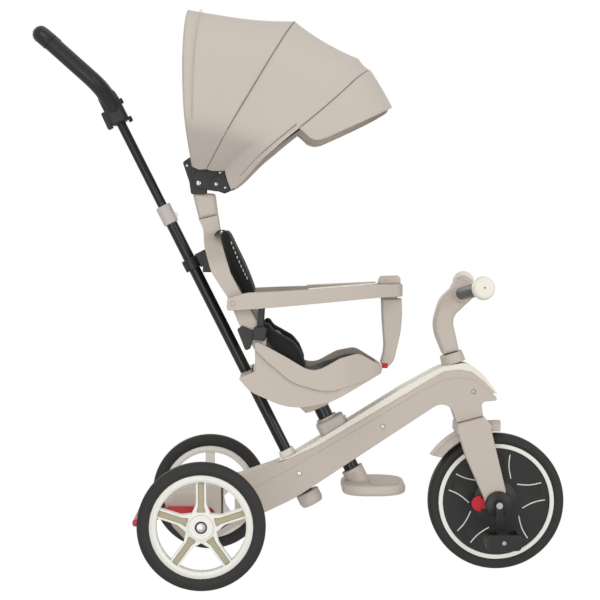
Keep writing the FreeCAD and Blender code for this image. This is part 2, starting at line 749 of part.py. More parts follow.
def lever(name, place, tube_radius):
    """An arm clamped round an upright tube, with a pin at its left-hand end."""
    reach = size["lever_reach"]
    boss = tube_radius + 3.5
    arm = slab(name + "_arm", rounded_edges([(-boss, -boss, 8), (boss, -boss, 8), (boss - 2, 8),
                                             (4, reach + 4, 3.5),
                                             (-4, reach + 4, 3.5), (2 - boss, 8)]), 5.0, plane="XY",
                                             place=place)
    hole = rod(name + "_hole", tube_radius, 30.0, place.multiply(aimed((0, 0, -15), (0, 0, 1))))
    pin = rod(name + "_pin", 2.0, 12.0, place.multiply(aimed((0, reach, -2), (0, 0, 1))))
    return fuse(name, cut(name + "_cut", arm, hole), pin)


def make_tie_rod():
    """Link in the hollow beam from the push handle's lever to the steerer's lever."""
    ends = along_handle(180), along_head(330)
    start, end = (place.multVec(V(0, size["lever_reach"], 7.5)) for place in ends)
    run = end - start
    place = aimed(start, run)
    link = rod("tie_rod_bar", 3.0, run.Length - 16, place.multiply(aimed((0, 0, 8), (0, 0, 1))))
    eyes = []
    for i, base in enumerate(ends):
        slot = block(f"tie_slot_{i}", (-2.9, 2.9), (11, 23.5), (0, 14), base)
        ring = block(f"tie_ring_{i}", (-9, 9), (13, 26.5), (4.7, 10.3), base)
        eyes.append(cut(f"tie_eye_{i}", ring, slot))
    part("tie_rod", fuse("tie_rod", link, *eyes))


# ---------------------------------------------------------------- push handle


def make_push_handle():
    tube = rod("lower_tube_outer", "lower_tube_radius", 608.0, along_handle(122))
    bore = rod("lower_tube_bore_cut", "lower_tube_bore", 640.0, along_handle(300))
    part("lower_tube", cut("lower_tube", tube, bore))
    hub = turned("hub_body", [(10.5, 0), (19, 0, 3), (22, 8, 3), (22, 25.5, 3), (10.5, 25.5)],
                 along_handle(119.5))
    part("steering_hub", group("steering_hub", hub, lever("handle_lever", along_handle(180),
                                                          size["lower_tube_radius"])))
    collar = turned("clamp_collar_body", [(10.5, 0), (14, 0, 2), (14, 36, 2), (8.58, 36), (8.58, 32),
                                          (10.5, 32)],
                    along_handle(637))
    latch_window = block("latch_window", (10.9, 24), (-4, 4), (6, 16), along_handle(637))
    part("clamp_collar", cut("clamp_collar", collar, latch_window))
    part("collar_latch", block("collar_latch", (12.6, 17), (-3.8, 3.8), (6.4, 15.6), along_handle(637)))
    upper = cut("upper_tube", rod("upper_tube_outer", "upper_tube_radius", 440.0, along_handle(452)),
                rod("upper_tube_inner", "upper_tube_radius - 1.5", 440.0, along_handle(452)))
    part("upper_tube", upper)
    make_handle_top()


def make_handle_top():
    """The bent grip: a socket over the tube that widens into a U with a bar across."""
    side = [(-311, 824), (-332, 866, 30), (-349, 893, 30), (-452, 992, 10), (-470, 998, 14),
            (-486.5, 975, 14),
            (-478, 962, 12), (-377, 873, 30), (-361, 846, 20), (-345, 812)]
    solid = slab("handle_side", rounded_edges(side), 116.0, fillet=6.0)
    front = slab("handle_front", rounded_edges([(-20, 0), (20, 0), (20, 60, 20), (58, 110, 30), (58, 300),
                                                (-58, 300), (-58, 110, 30), (-20, 60, 20)],), 600.0,
                                                plane="YZ",
                 place=FreeCAD.Placement(V(-300, 0, 800), FreeCAD.Rotation(ALONG_Y, -42)))
    window = slab("handle_window", rounded_edges([(-34, 118, 16), (34, 118, 16), (34, 238, 16),
                                                  (-34, 238, 16)]),
                  600.0, plane="YZ", place=FreeCAD.Placement(V(-300, 0, 800), FreeCAD.Rotation(ALONG_Y,
                                                                                               -42)))
    tube_way = rod("handle_tube_way", "upper_tube_radius", 70.0, along_handle(800))
    shape = cut("handle_shape", common("handle_outline", solid, front), window, tube_way)
    grip_zone = slab("grip_zone", rounded_edges([(-420, 1040), (-520, 1040), (-520, 930), (-455, 930),
                                                 (-444, 950)]), 200.0)
    part("handle_grip", common("handle_grip", shape, grip_zone))
    knobs = []
    for i, (x, z) in enumerate(((-327.5, 861), (-310.5, 828.5))):
        knobs.append(turned(f"handle_knob_{i}", [(0, 0), (5.5, 0), (5.5, 5, 2), (0, 5)],
                            aimed((x - 2.5, 0, z - 1.2), (0.893, 0, 0.449))))
    part("handle_housing", fuse("handle_housing", cut("housing_body", shape, grip_zone), *knobs))


# ---------------------------------------------------------------- seat


def make_post():
    place = along_post(141.5)
    tube = cut("post_tube", rod("post_outer", "post_radius", 198.0, place),
               rod("post_inner", "post_radius - 2.5", 198.0, place))
    groove = block("post_groove", (6, 8.4), (-16, -11.9), (-1, 210), place)
    part("seat_post", cut("seat_post", tube, groove))


SEAT_TOP = [(-82, 429, 4), (-27, 399, 40), (22, 369.5, 38), (70, 396, 26), (104, 404, 22), (150, 377, 6)]
SEAT_FOLD = [(147, 368), (114, 351.6, 90), (46, 335, 90), (-14, 352, 60), (-60, 390, 30), (-82, 412)]
SEAT_LOW = [(-82, 372), (-112, 361, 3), (-90, 336, 40), (-16, 303, 120), (52, 317, 100), (147, 366)]


def seat_plan(name, inset=0.0):
    """Plan view of the seat, rounded at the nose; the inset is the wall left around it."""
    body = new_body(name)
    half = 118 - inset
    nose = 152 - inset
    tip = 60 - 0.6 * inset
    pad(body, "XY", [rounded_edges([(-125, -half, 20), (70 - 0.3 * inset, -half, 60),
                                    (nose, -tip, 50 - inset),
                                    (nose, tip, 50 - inset), (70 - 0.3 * inset, half, 60),
                                    (-125, half, 20)])],
        800.0, offset=400.0)
    return body


def tube_slot(name):
    """Room for the push-handle tube behind the seat, over the seat's whole travel."""
    return fuse(name, rod(name + "_bore", 14.0, 260.0, along_handle(300)),
                block(name + "_back", (-90, 0), (-14, 14), (0, 260), along_handle(300)))


def make_seat():
    fold_back = SEAT_FOLD[::-1]
    outer = slab("seat_shell_outer", rounded_edges(SEAT_TOP + SEAT_FOLD), "2 * seat_half")
    room = slab("seat_shell_room", rounded_edges([(-100, 460), (-92, 424), (-58, 401, 20), (-12, 362, 50),
                                                  (46, 343, 90), (114, 360, 60), (138, 372, 8),
                                                  (156, 460)]),
                "2 * seat_half - 16")
    hollow = common("seat_shell_hollow", room, seat_plan("seat_plan_room", inset=7.0))
    shaped = common("seat_shell_planned", outer, seat_plan("seat_plan_shell"))
    part("seat_shell", cut("seat_shell", shaped, hollow))
    low = slab("seat_bucket_outer", rounded_edges(fold_back + SEAT_LOW[::-1]), "2 * seat_half - 10")
    low_planned = common("seat_bucket_planned", low, seat_plan("seat_plan_bucket"))
    post_seat = rod("bucket_post_hole", "post_radius", 40.0, along_post(290))
    room = slab("bucket_room", rounded_edges([(-88, 370), (-98, 360), (-84, 346, 40), (-16, 312, 110),
                                              (38, 321),
                                              (30, 328), (-16, 339, 60), (-62, 375, 30)]), 190.0)
    bucket = cut("bucket_body", low_planned, tube_slot("bucket_tube_slot"), post_seat, room)
    bracket = slab("bracket_body", rounded_edges([(-6, 330), (-2, 301), (10, 289.5, 3), (20, 292),
                                                  (52, 306),
                                                  (52, 330)]), 56.0, fillet=3.0)
    below = slab("bracket_limit", rounded_edges(fold_back + [(147, 200), (-82, 200)]), 80.0)
    trimmed = common("bracket_trimmed", bracket, below)
    outside = cut("bracket_outside", trimmed, slab("bucket_solid",
                                                   rounded_edges(fold_back + SEAT_LOW[::-1]), 80.0))
    hole = rod("bracket_post_hole", "post_radius", 60.0, along_post(280))
    part("seat_bucket", fuse("seat_bucket", bucket, cut("bracket_drilled", outside, hole)))


BACK_REAR = [(-185, 644), (-177, 627, 30), (-174, 595, 60), (-160, 549, 80), (-130, 504, 80),
             (-110, 456, 60),
             (-84, 414, 20), (-76, 396)]
BACK_FRONT = [(-62, 396), (-62, 432, 20), (-88, 478, 60), (-126, 548, 80), (-144, 606, 60), (-151, 652)]


def back_outline(name, inset, top, window=False):
    """Front view of the backrest: narrow at the mast, wide at the seat."""
    half = size["back_half"] - inset
    points = [(-half, 380), (-half, 470, 60), (-half + 12, 560, 60), (-32, 622, 40), (-31, top),
              (31, top), (32, 622, 40), (half - 12, 560, 60), (half, 470, 60), (half, 380)]
    if window:
        points = [(-half, 424, 30), (-half, 480, 60), (-half + 14, 545, 40), (-24, 598, 24), (24, 598, 24),
                  (half - 14, 545, 40), (half, 480, 60), (half, 424, 30)]
    body = new_body(name)
    pad(body, "YZ", [rounded_edges(points)], 600.0)
    return body


def make_backrest():
    side = slab("back_side", rounded_edges(BACK_REAR + BACK_FRONT), "2 * back_half")
    shaped = common("back_shaped", side, back_outline("back_outer", 0, 690))
    window = back_outline("back_window", 24, 0, window=True)
    shell = slab("seat_clear", rounded_edges(SEAT_TOP + SEAT_FOLD), "2 * seat_half")
    low = slab("bucket_clear", rounded_edges(SEAT_FOLD[::-1] + SEAT_LOW[::-1]), "2 * seat_half")
    pin_holes = rod_between_sides("back_pin_holes", 4.0, 140.0, *BAR_PIVOT)
    mast = slab("mast_body", rounded_edges([(-185, 644), (-197, 694, 4), (-156, 691, 4), (-151, 652)]),
                59.8,
                fillet=8.0)
    part("backrest_frame", fuse("backrest_frame", cut("back_drilled", shaped, window, shell, low,
                                                      pin_holes), mast))
    plate_side = slab("plate_side", rounded_edges([(-172, 600), (-158, 552, 80), (-128, 507, 80),
                                                   (-108, 460, 60),
                                                   (-86, 424), (-82, 426), (-103, 462, 60), (-123, 509, 80),
                                                   (-153, 554, 80), (-167, 600)]), 190.0)
    part("backrest_plate", common("backrest_plate", plate_side, back_outline("plate_outline", 24.5, 0,
                                                                             window=True)))


def make_clip():
    """Clip behind the backrest that rides on the push-handle tube."""
    place = along_handle(553)
    ring = turned("clip_ring", [(10.62, 0), (16, 0, 2), (16, 22, 2), (10.62, 22)], place)
    arm = block("clip_arm", (9, 45), (-9, 9), (-2, 24), place)
    bore = rod("clip_bore", 15.0, 60.0, along_handle(540))
    back = slab("clip_back_cut", rounded_edges(BACK_REAR + BACK_FRONT), "2 * back_half")
    foot = block("clip_foot", (-178, -150), (-30, 30), (548, 584))
    block_part = fuse("clip_block", arm, foot)
    trimmed = cut("clip_trimmed", block_part, bore, back)
    part("handle_clip", fuse("handle_clip", ring, trimmed))


# ---------------------------------------------------------------- soft seat pieces


def side_pair(name, outline, width, offset, fillet=None):
    """The same piece on both sides of the middle plane."""
    return [slab(f"{name}_{side}", rounded_edges(outline), width, fillet=fillet,
                 place=FreeCAD.Placement(V(0, side * offset, 0), FreeCAD.Rotation())) for side in MIRRORED]


def make_soft_seat():
    cushion = slab("cushion_side", rounded_edges([(-58, 405), (-12, 366, 50), (46, 346, 90),
                                                  (112, 362, 60), (126, 369),
                                                  (122, 385, 8), (46, 366, 80), (-4, 384, 50),
                                                  (-48, 424, 10),
                                                  (-58, 424)]), 150.0)
    inside = common("cushion_inside", cushion, seat_plan("seat_plan_cushion", inset=9.0))
    bolsters = side_pair("hip_pad", [(-56, 420, 6), (-14, 380, 20), (8, 371, 4), (7, 396, 10),
                                     (-16, 427, 30),
                                     (-46, 452, 12), (-58, 446, 4)], 22.0, 95, fillet=5.0)
    part("seat_cushion", group("seat_cushion", inside, *bolsters))
    pads = side_pair("shoulder_pad", [(-140, 616, 8), (-126, 623, 8), (-117, 598, 40), (-101, 565, 40),
                                      (-80, 512, 6),
                                      (-102, 506, 6), (-121, 553, 40), (-136, 596, 20)], 46.0, 45,
                                      fillet=6.0)
    straps = side_pair("strap", [(-94, 503), (-91, 503), (-58, 452, 60), (-54, 432), (-57, 430),
                                 (-62, 450, 60)],
                       24.0, 45)
    buckle = slab("harness_buckle", rounded_edges([(-52, 432, 4), (-30, 412, 4), (-24, 420, 4),
                                                   (-45, 441, 4)]),
                  52.0, fillet=3.0)
    part("harness", group("harness", *pads, *straps, buckle))


# ---------------------------------------------------------------- safety bar and its post


def make_safety_bar():
    """U-shaped bar: two arms from the seat's sides that meet in a ring at the front."""
    half = size["bar_half"]
    plan = new_body("bar_plan")
    outer = [(-134, half, 4), (-40, half, 60), (110, 62, 70), (188, 24, 22), (188, -24, 22), (110, -62, 70),
             (-40, -half, 60), (-134, -half, 4), (-134, 13 - half, 3), (-42, 13 - half, 50),
             (98, -47, 60), (140, -21, 6), (140, 21, 6), (98, 47, 60), (-42, half - 13, 50),
             (-134, half - 13, 3)]
    pad(plan, "XY", [rounded_edges(outer)], 300.0, offset=500.0)
    side = slab("bar_side", rounded_edges([(-132, 482, 5), (-131, 504, 4), (-96, 514, 30), (14, 519, 300),
                                           (140, 526),
                                           (190, 526, 5), (188, 503, 5), (142, 502), (38, 494, 300),
                                           (-98, 484, 60)]),
                "2 * bar_half + 4")
    shape = common("bar_shape", plan, side)
    socket = slab("bar_socket", rounded_edges([(145.6, 480), (145.6, 524), (182.4, 524), (182.4, 480)]),
                  31.0)
    pins = rod_between_sides("bar_pin_hole", 4.06, 160.0, *BAR_PIVOT)
    cap = slab("bar_cap", rounded_edges([(144, 526), (144, 533), (148, 540, 3), (180, 541, 3), (184, 535),
                                         (184, 526)]),
               34.0, fillet=2.0)
    part("safety_bar", fuse("safety_bar", cut("bar_drilled", shape, socket, pins), cap))
    cover = new_body("bar_cover_plan")
    pad(cover, "XY", [rounded_edges([(14, 106), (112, 61, 70), (140, 42), (140, -42), (112, -61, 70),
                                     (14, -106),
                                     (10, -94), (98, -48, 60), (138, -26), (138, 26), (98, 48, 60),
                                     (10, 94)])],
        300.0, offset=500.0)
    band = slab("bar_cover_side", rounded_edges([(14, 519), (14, 521), (139, 529), (139, 526)]), 260.0)
    part("bar_cover", common("bar_cover", cover, band))


BAR_PIVOT = (-121.0, 495.0)


def make_bar_mounts():
    ears = []
    for side in MIRRORED:
        start = side * (size["back_half"] - 14)
        ears.append(rod(f"bar_pin_{side}", 4.0, 34.0, aimed((BAR_PIVOT[0], start, BAR_PIVOT[1]),
                                                            (0, side, 0))))
    foot_screw = rod("foot_screw", 3.3, 6.6, aimed((FOOT_PIN[0], -21.5, FOOT_PIN[1]), (0, 1, 0)))
    part("seat_pins", group("seat_pins", *ears, foot_screw))


def make_front_post():
    post = slab("front_post_body", rounded_edges([(149, 499), (150.5, 460, 200), (154.5, 405, 80),
                                                  (147, 381, 8),
                                                  (156, 368, 6), (172, 384, 30), (184, 436, 120),
                                                  (187, 470, 120),
                                                  (186, 499)]), 36.0, fillet=4.0)
    tongue = block("post_tongue", (149.5, 178.5), (-12.5, 12.5), (495, 516))
    shape = fuse("post_shape", post, tongue)
    seat = slab("post_seat_cut", rounded_edges(SEAT_TOP + SEAT_FOLD), 80.0)
    low = slab("post_low_cut", rounded_edges(SEAT_FOLD[::-1] + SEAT_LOW[::-1]), 80.0)
    window = block("post_button_window", (149, 160), (-25, -11.5), (371, 380))
    part("front_post", cut("front_post", shape, seat, low, window))
    part("post_button", block("post_button", (149.6, 159.6), (-20.5, -14.2), (371.6, 379.6)))


# ---------------------------------------------------------------- footrest


def make_footrest():
    plate = new_body("foot_plate")
    feature = pad(plate, "XY", [rounded_edges([(76, -88, 46), (192, -88, 54), (192, 88, 54),
                                               (76, 88, 46)])], 19.0,
                  offset=153.5)
    soften(plate, feature, 7.0, "Z")
    socket = rod("foot_socket", 20.0, 44.0, along_post(146))
    tread = new_body("foot_tread")
    pad(tread, "XY", [rounded_edges([(126, -70, 20), (180, -70, 30), (180, 70, 30), (126, 70, 20)])], 4.0,
        offset=162.0)
    shape = fuse("foot_shape", plate, socket, tread)
    hole = rod("foot_post_hole", "post_radius", 70.0, along_post(138))
    under = block("foot_under_cut", (60, 200), (-90, 90), (100, 144))
    screw_hole = rod("foot_screw_hole", 3.3, 10.0, aimed((FOOT_PIN[0], -23.5, FOOT_PIN[1]), (0, 1, 0)))
    part("footrest", cut("footrest", shape, hole, under, screw_hole))


FOOT_PIN = (99.5, 176.0)


# ---------------------------------------------------------------- canopy

PIVOT = (size["canopy_pivot_x"], size["canopy_pivot_z"])
LEAD = (-152.9, 708.1)
RIBS = {"rear": (-2.0, 303.0, PIVOT), "mid": (31.0, 331.0, PIVOT), "front": (54.3, 335.0, LEAD)}


def hoop(radius, grow, foot):
    """One rib's line in its plane: out from the pivot, over the top and back."""
    half = size["canopy_half"] + grow
    return [(-foot[0], foot[1]), (-half + 6, 112, 60), (-half, radius + grow, 95),
            (half, radius + grow, 95),
            (half - 6, 112, 60), foot]


def rib_plane(degrees, base):
    """A plane through a rib's pivot: own X along Y, own Y out along the rib."""
    lean = math.radians(degrees)
    out = V(math.sin(lean), 0, math.cos(lean))
    across = V(0, 1, 0)
    rotation = FreeCAD.Rotation(across, out, across.cross(out), "XYZ")
    return FreeCAD.Placement(V(base[0], 0, base[1]), rotation)


def band(name, outer, inner, place):
    """Cross-section of the fabric in a rib's plane: the strip between two open outlines."""
    sketch = DOC.addObject("Sketcher::SketchObject", name)
    ends = [Part.LineSegment(V(*outer[i][:2], 0), V(*inner[i][:2], 0)) for i in (-1, 0)]
    edges = rounded_edges(outer, closed=False) + ends[:1] + rounded_edges(inner[::-1],
                                                                          closed=False) + ends[1:]
    sketch.addGeometry(edges, False)
    sketch.Placement = place
    return sketch


def loft(name, *sections):
    obj = DOC.addObject("Part::Loft", name)
    obj.Sections = list(sections)
    obj.Solid, obj.Ruled = True, True
    return obj


def panel(name, *ribs):
    """Fabric stretched from one rib to the next, just outside them."""
    skin, thick = 5.0, size["fabric"]
    sections = []
    for i, (degrees, radius, base) in enumerate(ribs):
        outer = hoop(radius, skin + thick, (60 + thick, 28))
        inner = hoop(radius, skin, (60, 28))
        sections.append(band(f"{name}_section_{i}", outer, inner, rib_plane(degrees, base)))
    return loft(name, *sections)


def peak(low, radius, grow):
    """The visor's line in a plane: its sides above the lower corners, and the top."""
    half = size["canopy_half"] + grow
    return [(-half, low), (-half, radius + grow, 95), (half, radius + grow, 95), (half, low)]


def hinge_arm(name, outline, middle, rib, start):
    """A plate each side of the mast, drilled for its pivots, with its rib fused in."""
    degrees, radius, base = RIBS[rib]
    plates = side_pair(f"{name}_plate", outline, 3.5, middle)
    wire = swept(f"{name}_wire", hoop(radius, 0, (middle, start)), "rib_radius", rib_plane(degrees, base))
    bores = [rod_between_sides(f"{name}_bore_{i}", "3 + running_gap", 60.0, *point)
             for i, point in enumerate((PIVOT, LEAD))]
    return cut(f"{name}_drilled", fuse(f"{name}_shape", *plates, wire), *bores)


def make_canopy():
    base = hinge_arm("base", [(-214, 748, 4), (-200, 758, 4), (-178, 758, 4), (-172, 720, 8),
                              (-172, 690, 4),
                              (-199, 690, 4), (-202, 712, 8)], 31.7, "rear", 40)
    rivet = rod_between_sides("canopy_rivet", 3.0, 39.6, *PIVOT)
    part("canopy_rib_rear", group("canopy_rib_rear", base, rivet))
    middle = hinge_arm("middle", [(-193, 702, 6), (-196, 718, 6), (-180, 748, 4), (-158, 744, 4),
                                  (-143, 718, 6),
                                  (-141, 702, 5), (-153, 696, 5)], 37.0, "mid", 36)
    pins = [rod(f"lead_pin_{side}", 3.0, 10.5, aimed((LEAD[0], side * 34.6, LEAD[1]), (0, side, 0)))
            for side in MIRRORED]
    part("canopy_rib_mid", group("canopy_rib_mid", middle, *pins))
    part("canopy_rib_front", hinge_arm("leading", [(-162, 700, 6), (-165, 714, 6), (-138, 733, 4),
                                                   (-126, 728, 4),
                                                   (-122, 700, 4), (-140, 692, 5)], 42.3, "front", 22))
    back = new_body("canopy_back", FreeCAD.Placement(V(-206, 0, PIVOT[1]), FreeCAD.Rotation()))
    pad(back, "YZ", [rounded_edges(hoop(RIBS["rear"][1] - 4, 0, (38.0, 52.0)))], 3.0)
    part("canopy_back_panel", back)
    part("canopy_rear_panel", panel("canopy_rear_panel", RIBS["rear"], RIBS["mid"]))
    part("canopy_front_panel", panel("canopy_front_panel", RIBS["mid"], RIBS["front"]))
    edges = [band(f"visor_section_{i}", peak(low, reach, 7.0), peak(low, reach, 5.0), rib_plane(degrees,
                                                                                                LEAD))
             for i, (degrees, reach, low) in enumerate(((54.8, 335.0, 180.0), (66.0, 339.0, 195.0)))]
    part("canopy_visor", loft("canopy_visor", *edges))


# ---------------------------------------------------------------- build


def main():
    make_beam()
    make_rear_housing()
    make_head_bearings()
    make_frame_screws()
    make_post_collar()
    make_brake()
    for side, label in ((-1, "right"), (1, "left")):
        rear_wheel(side, label)
    make_front_wheel()
    make_crank()
    make_fork()
    make_slider()
    make_fender()
    make_stem()
    make_bar()
    make_tie_rod()
    make_push_handle()
    make_post()
    make_seat()
    make_backrest()
    make_clip()
    make_soft_seat()
    make_safety_bar()
    make_bar_mounts()
    make_front_post()
    make_footrest()
    make_canopy()
    DOC.recompute()

    problems = [f"{o.Name}: {o.State}" for o in DOC.Objects if {"Invalid", "Error"} & set(o.State)]
    for name, obj in PARTS.items():
        shape = obj.Shape
        if shape.isNull() or not shape.isValid() or not shape.Solids:
            problems.append(f"{name}: null, invalid or empty shape")
    if problems:
        raise SystemExit("\n".join(problems))
    os.makedirs("parts", exist_ok=True)
    for name, obj in PARTS.items():
        obj.Shape.exportStep(f"parts/{name}.step")
        print(f"{name:24s} {len(obj.Shape.Solids)} solids {obj.Shape.Volume / 1000:9.1f} cm3")
    print(len(PARTS), "parts")


main()
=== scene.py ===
"""Looks for the children's tricycle: materials, soft goods and finished shells on the CAD frame."""

import json
import math

import bpy
from mathutils import Matrix, Vector


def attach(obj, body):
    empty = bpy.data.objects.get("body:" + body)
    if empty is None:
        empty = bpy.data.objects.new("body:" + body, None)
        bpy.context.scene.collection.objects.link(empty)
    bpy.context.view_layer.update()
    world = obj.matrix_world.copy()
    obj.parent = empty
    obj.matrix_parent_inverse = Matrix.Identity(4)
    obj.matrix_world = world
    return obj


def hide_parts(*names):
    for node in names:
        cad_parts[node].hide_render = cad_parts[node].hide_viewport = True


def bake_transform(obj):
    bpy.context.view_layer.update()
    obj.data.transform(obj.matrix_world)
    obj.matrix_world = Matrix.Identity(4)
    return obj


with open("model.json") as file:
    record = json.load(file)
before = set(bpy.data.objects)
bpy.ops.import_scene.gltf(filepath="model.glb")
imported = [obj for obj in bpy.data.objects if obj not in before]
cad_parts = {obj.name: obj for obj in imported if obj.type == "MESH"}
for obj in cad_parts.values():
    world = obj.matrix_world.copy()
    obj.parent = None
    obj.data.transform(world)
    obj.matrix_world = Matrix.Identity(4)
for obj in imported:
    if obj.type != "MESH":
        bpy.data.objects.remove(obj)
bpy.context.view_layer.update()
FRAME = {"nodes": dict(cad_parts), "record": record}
NODES = FRAME["nodes"]
MM = 0.001

# ------------------------------------------------------------------ materials


def srgb(r, g, b):
    """An 8-bit screen colour as linear light."""
    linear = [((c / 255 + 0.055) / 1.055) ** 2.4 if c > 10 else c / 255 / 12.92 for c in (r, g, b)]
    return (*linear, 1.0)


def new_material(name, color, rough, **inputs):
    material = bpy.data.materials.new(name)
    material.use_nodes = True
    shader = material.node_tree.nodes["Principled BSDF"]
    shader.inputs["Base Color"].default_value = color
    shader.inputs["Roughness"].default_value = rough
    for key, value in inputs.items():
        shader.inputs[key.replace("_", " ")].default_value = value
    return material, material.node_tree, shader


def grain(tree, shader, scale, strength, distance=0.0002, edge=0.0):
    """Fine moulded texture, and softened edges where edge is a radius."""
    where = tree.nodes.new("ShaderNodeTexCoord")
    noise = tree.nodes.new("ShaderNodeTexNoise")
    noise.inputs["Scale"].default_value = scale
    noise.inputs["Detail"].default_value = 3.0
    bump = tree.nodes.new("ShaderNodeBump")
    bump.inputs["Strength"].default_value = strength
    bump.inputs["Distance"].default_value = distance
    tree.links.new(where.outputs["Object"], noise.inputs["Vector"])
    tree.links.new(noise.outputs["Fac"], bump.inputs["Height"])
    tree.links.new(bump.outputs["Normal"], shader.inputs["Normal"])
    if edge:
        bevel = tree.nodes.new("ShaderNodeBevel")
        bevel.samples = 4
        bevel.inputs["Radius"].default_value = edge
        tree.links.new(bevel.outputs["Normal"], bump.inputs["Normal"])


def plastic(name, color, rough=0.42, edge=0.0018):
    material, tree, shader = new_material(name, color, rough, Specular_IOR_Level=0.42)
    grain(tree, shader, 900.0, 0.25, 0.00012, edge)
    return material


def weave(name, color, shade, count, depth):
    """Plain-woven cloth: two crossed bands of thread that colour and raise the surface."""
    material, tree, shader = new_material(name, color, 0.88, Sheen_Weight=0.25, Sheen_Roughness=0.5)
    shader.inputs["Specular IOR Level"].default_value = 0.2
    where = tree.nodes.new("ShaderNodeTexCoord")
    bands = []
    for direction, phase in (("X", 0.0), ("Z", math.pi / 2)):
        wave = tree.nodes.new("ShaderNodeTexWave")
        wave.bands_direction = direction
        wave.inputs["Scale"].default_value = count
        wave.inputs["Distortion"].default_value = 0.6
        wave.inputs["Detail Scale"].default_value = 2.0
        wave.inputs["Phase Offset"].default_value = phase
        tree.links.new(where.outputs["Object"], wave.inputs["Vector"])
        bands.append(wave.outputs["Fac"])
    both = tree.nodes.new("ShaderNodeMath")
    both.operation = "MULTIPLY"
    tree.links.new(bands[0], both.inputs[0])
    tree.links.new(bands[1], both.inputs[1])
    mix = tree.nodes.new("ShaderNodeMix")
    mix.data_type = "RGBA"
    mix.inputs["A"].default_value = shade
    mix.inputs["B"].default_value = color
    tree.links.new(both.outputs[0], mix.inputs["Factor"])
    tree.links.new(mix.outputs["Result"], shader.inputs["Base Color"])
    bump = tree.nodes.new("ShaderNodeBump")
    bump.inputs["Strength"].default_value = depth
    bump.inputs["Distance"].default_value = 0.0003
    tree.links.new(both.outputs[0], bump.inputs["Height"])
    tree.links.new(bump.outputs["Normal"], shader.inputs["Normal"])
    return material


TAUPE = srgb(197, 186, 175)
MATERIALS = {
    "taupe_plastic": plastic("taupe_plastic", TAUPE, 0.45),
    "cream_plastic": plastic("cream_plastic", srgb(236, 231, 218), 0.38),
    "grey_plastic": plastic("grey_plastic", srgb(196, 188, 181), 0.4),
    "wheel_plastic": plastic("wheel_plastic", srgb(238, 237, 229), 0.38),
    "black_plastic": plastic("black_plastic", srgb(38, 37, 36), 0.36, 0.0025),
    "red_plastic": plastic("red_plastic", srgb(196, 26, 44), 0.3),
    "tyre_foam": plastic("tyre_foam", srgb(46, 45, 43), 0.7, 0.0012),
    "grip_rubber": plastic("grip_rubber", srgb(36, 35, 34), 0.32, 0.003),
    "black_tube": plastic("black_tube", srgb(30, 29, 29), 0.2, 0.0006),
    "black_fabric": weave("black_fabric", srgb(46, 45, 44), srgb(22, 22, 22), 380.0, 0.5),
    "canopy_fabric": weave("canopy_fabric", srgb(203, 193, 183), srgb(200, 190, 180), 420.0, 0.08),
}
STEEL, steel_tree, steel_shader = new_material("bright_steel", srgb(205, 201, 200), 0.28, Metallic=0.9)
grain(steel_tree, steel_shader, 300.0, 0.1)
MATERIALS["bright_steel"] = STEEL
# painted shade: a darker khaki colour laid only on the floors of the rear spokes' recessed channels, standing
# for the shade that falls in them
CHANNEL_SHADE_PAINT = plastic("channel_shade_paint", srgb(176, 168, 142), 0.5)

SLOT_OF = {part["node"]: part["material_slot"] for part in FRAME["record"]["subparts"]}
for node_name, node in NODES.items():
    node.data.materials.clear()
    node.data.materials.append(MATERIALS[SLOT_OF[node_name]])

# ------------------------------------------------------------------ camera and light

scene = bpy.context.scene
scene.view_settings.view_transform = "Standard"
scene.render.film_transparent = False

camera_data = bpy.data.cameras.new("camera")
camera_data.sensor_width = 36.0
camera_data.lens = 116.1
camera = bpy.data.objects.new("camera", camera_data)
camera.location = (-0.0389, -3.56, 0.639)
camera.rotation_euler = (math.radians(90 - 2.3), 0, math.radians(-0.62))
scene.collection.objects.link(camera)
scene.camera = camera

world = bpy.data.worlds.new("world")
world.use_nodes = True
scene.world = world
nodes = world.node_tree.nodes
back = nodes["Background"]
back.inputs["Color"].default_value = (1, 1, 1, 1)
back.inputs["Strength"].default_value = 0.62
seen = nodes.new("ShaderNodeBackground")
seen.inputs["Color"].default_value = (1, 1, 1, 1)
mixer = nodes.new("ShaderNodeMixShader")
path = nodes.new("ShaderNodeLightPath")
links = world.node_tree.links
links.new(path.outputs["Is Camera Ray"], mixer.inputs["Fac"])
links.new(back.outputs["Background"], mixer.inputs[1])
links.new(seen.outputs["Background"], mixer.inputs[2])
links.new(mixer.outputs["Shader"], nodes["World Output"].inputs["Surface"])


def area_light(name, place, target, size, power):
    data = bpy.data.lights.new(name, "AREA")
    data.shape = "DISK"
    data.size = size
    data.energy = power
    lamp = bpy.data.objects.new(name, data)
    lamp.location = place
    lamp.rotation_euler = (Vector(target) - Vector(place)).to_track_quat("-Z", "Y").to_euler()
    scene.collection.objects.link(lamp)


area_light("key", (-1.2, -2.6, 2.6), (0, 0, 0.5), 1.8, 20)
area_light("fill", (2.4, -2.2, 1.2), (0, 0, 0.4), 2.0, 21)
area_light("top", (0.2, 0.4, 3.0), (0, 0, 0.4), 1.8, 6)
area_light("low", (-0.6, -2.7, 0.1), (-0.1, 0, 0.8), 1.8, 13)
area_light("rim", (-1.5, 2.4, 1.6), (0, 0, 0.6), 1.6, 20)

# ------------------------------------------------------------------ shape helpers, in millimetres


